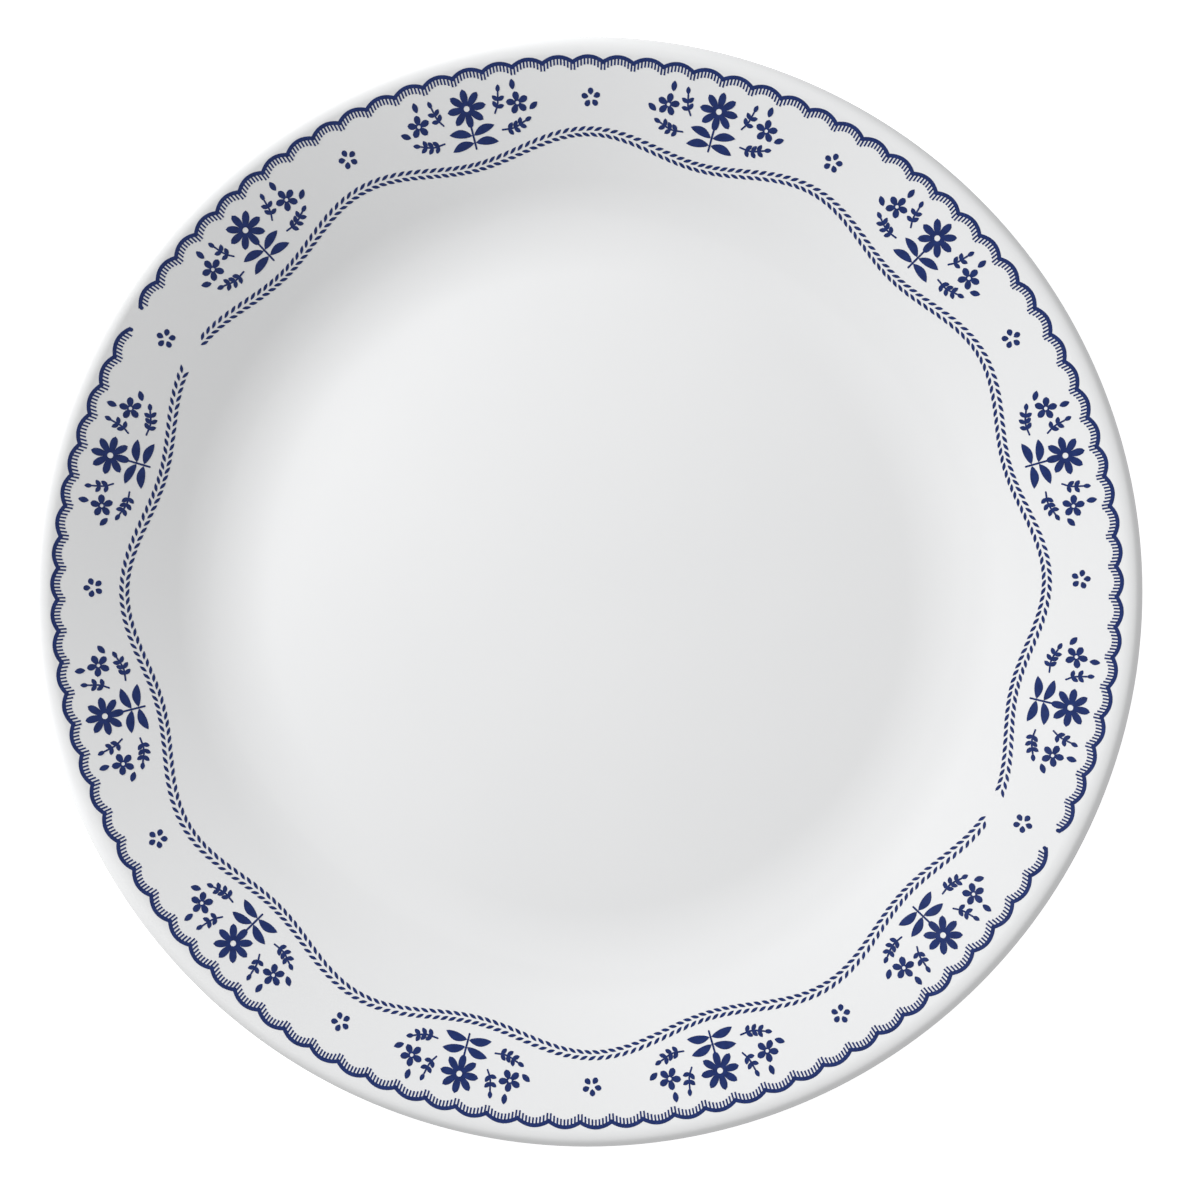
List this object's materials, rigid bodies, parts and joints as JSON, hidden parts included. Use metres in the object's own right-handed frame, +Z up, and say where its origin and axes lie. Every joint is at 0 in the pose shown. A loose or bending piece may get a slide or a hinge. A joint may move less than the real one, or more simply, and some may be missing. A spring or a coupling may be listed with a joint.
{
  "type": "dinner plate",
  "caption": "Round glazed china dinner plate with a flat well, a flared rim, a bare foot ring and a blue printed floral border on the rim.",
  "frame": {"origin": "centre of the foot ring's resting face, on the plate's axis", "axes": "+Z up along the plate's axis, out of the well; +Y towards the top of the printed border and +X to its right, seen from above"},
  "size_m": [0.26, 0.26, 0.0243],
  "materials": {
    "bare_porcelain": "matt, fired and unglazed",
    "white_glaze": "glossy white",
    "cobalt_ink": "glossy, fired navy print"
  },
  "bodies": {
    "root": {"porcelain_body": "bare_porcelain", "face_glaze": "white_glaze", "base_glaze": "white_glaze", "transfer_upper_right": "cobalt_ink", "transfer_lower_left": "cobalt_ink"}
  },
  "joints": []
}
